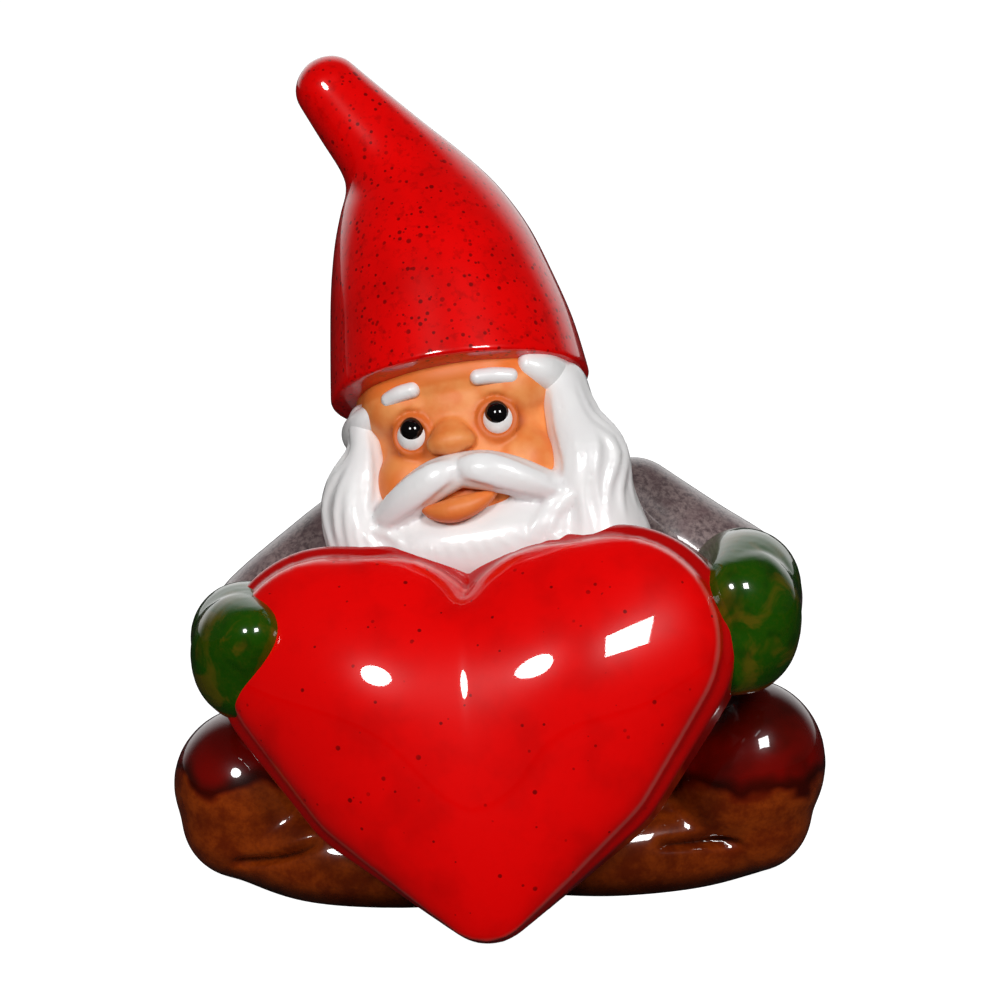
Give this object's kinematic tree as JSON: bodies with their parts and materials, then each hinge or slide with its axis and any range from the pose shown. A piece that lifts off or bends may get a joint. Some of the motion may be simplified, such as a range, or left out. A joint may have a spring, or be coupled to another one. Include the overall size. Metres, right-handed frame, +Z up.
{
  "type": "seated gnome figurine",
  "caption": "Free-standing glazed ceramic gnome seated cross-legged, holding a large domed heart against its chest with both mittened arms.",
  "frame": {"origin": "on the underside of the foot slab at table height, midway between the knees", "axes": "+Z up to the tip of the hat, the face and the heart look along -Y, +X is the gnome's own left"},
  "size_m": [0.1116, 0.0912, 0.1377],
  "materials": {
    "foot_slab": "bare fired clay",
    "coat_body": "gloss glaze, mottled",
    "left_sleeve": "gloss glaze, mottled",
    "right_sleeve": "gloss glaze, mottled",
    "left_mitten": "gloss glaze, mottled",
    "right_mitten": "gloss glaze, mottled",
    "left_thigh": "gloss glaze, mottled",
    "right_thigh": "gloss glaze, mottled",
    "left_shin": "gloss glaze, mottled",
    "right_shin": "gloss glaze, mottled",
    "heart": "high gloss glaze",
    "head": "matte slip",
    "nose": "matte slip",
    "lower_lip": "matte slip",
    "left_eyeball": "gloss glaze",
    "right_eyeball": "gloss glaze",
    "left_pupil": "gloss glaze",
    "right_pupil": "gloss glaze",
    "left_eyebrow": "gloss glaze",
    "right_eyebrow": "gloss glaze",
    "left_moustache": "gloss glaze",
    "right_moustache": "gloss glaze",
    "beard": "gloss glaze",
    "left_temple_lock": "gloss glaze",
    "right_temple_lock": "gloss glaze",
    "back_hair": "gloss glaze",
    "hat": "high gloss glaze, speckled"
  },
  "bodies": {
    "root": {"foot_slab": "foot_slab", "coat_body": "coat_body", "left_sleeve": "left_sleeve", "right_sleeve": "right_sleeve", "left_mitten": "left_mitten", "right_mitten": "right_mitten", "left_thigh": "left_thigh", "right_thigh": "right_thigh", "left_shin": "left_shin", "right_shin": "right_shin", "heart": "heart", "head": "head", "nose": "nose", "lower_lip": "lower_lip", "left_eyeball": "left_eyeball", "right_eyeball": "right_eyeball", "left_pupil": "left_pupil", "right_pupil": "right_pupil", "left_eyebrow": "left_eyebrow", "right_eyebrow": "right_eyebrow", "left_moustache": "left_moustache", "right_moustache": "right_moustache", "beard": "beard", "left_temple_lock": "left_temple_lock", "right_temple_lock": "right_temple_lock", "back_hair": "back_hair", "hat": "hat"}
  },
  "joints": []
}
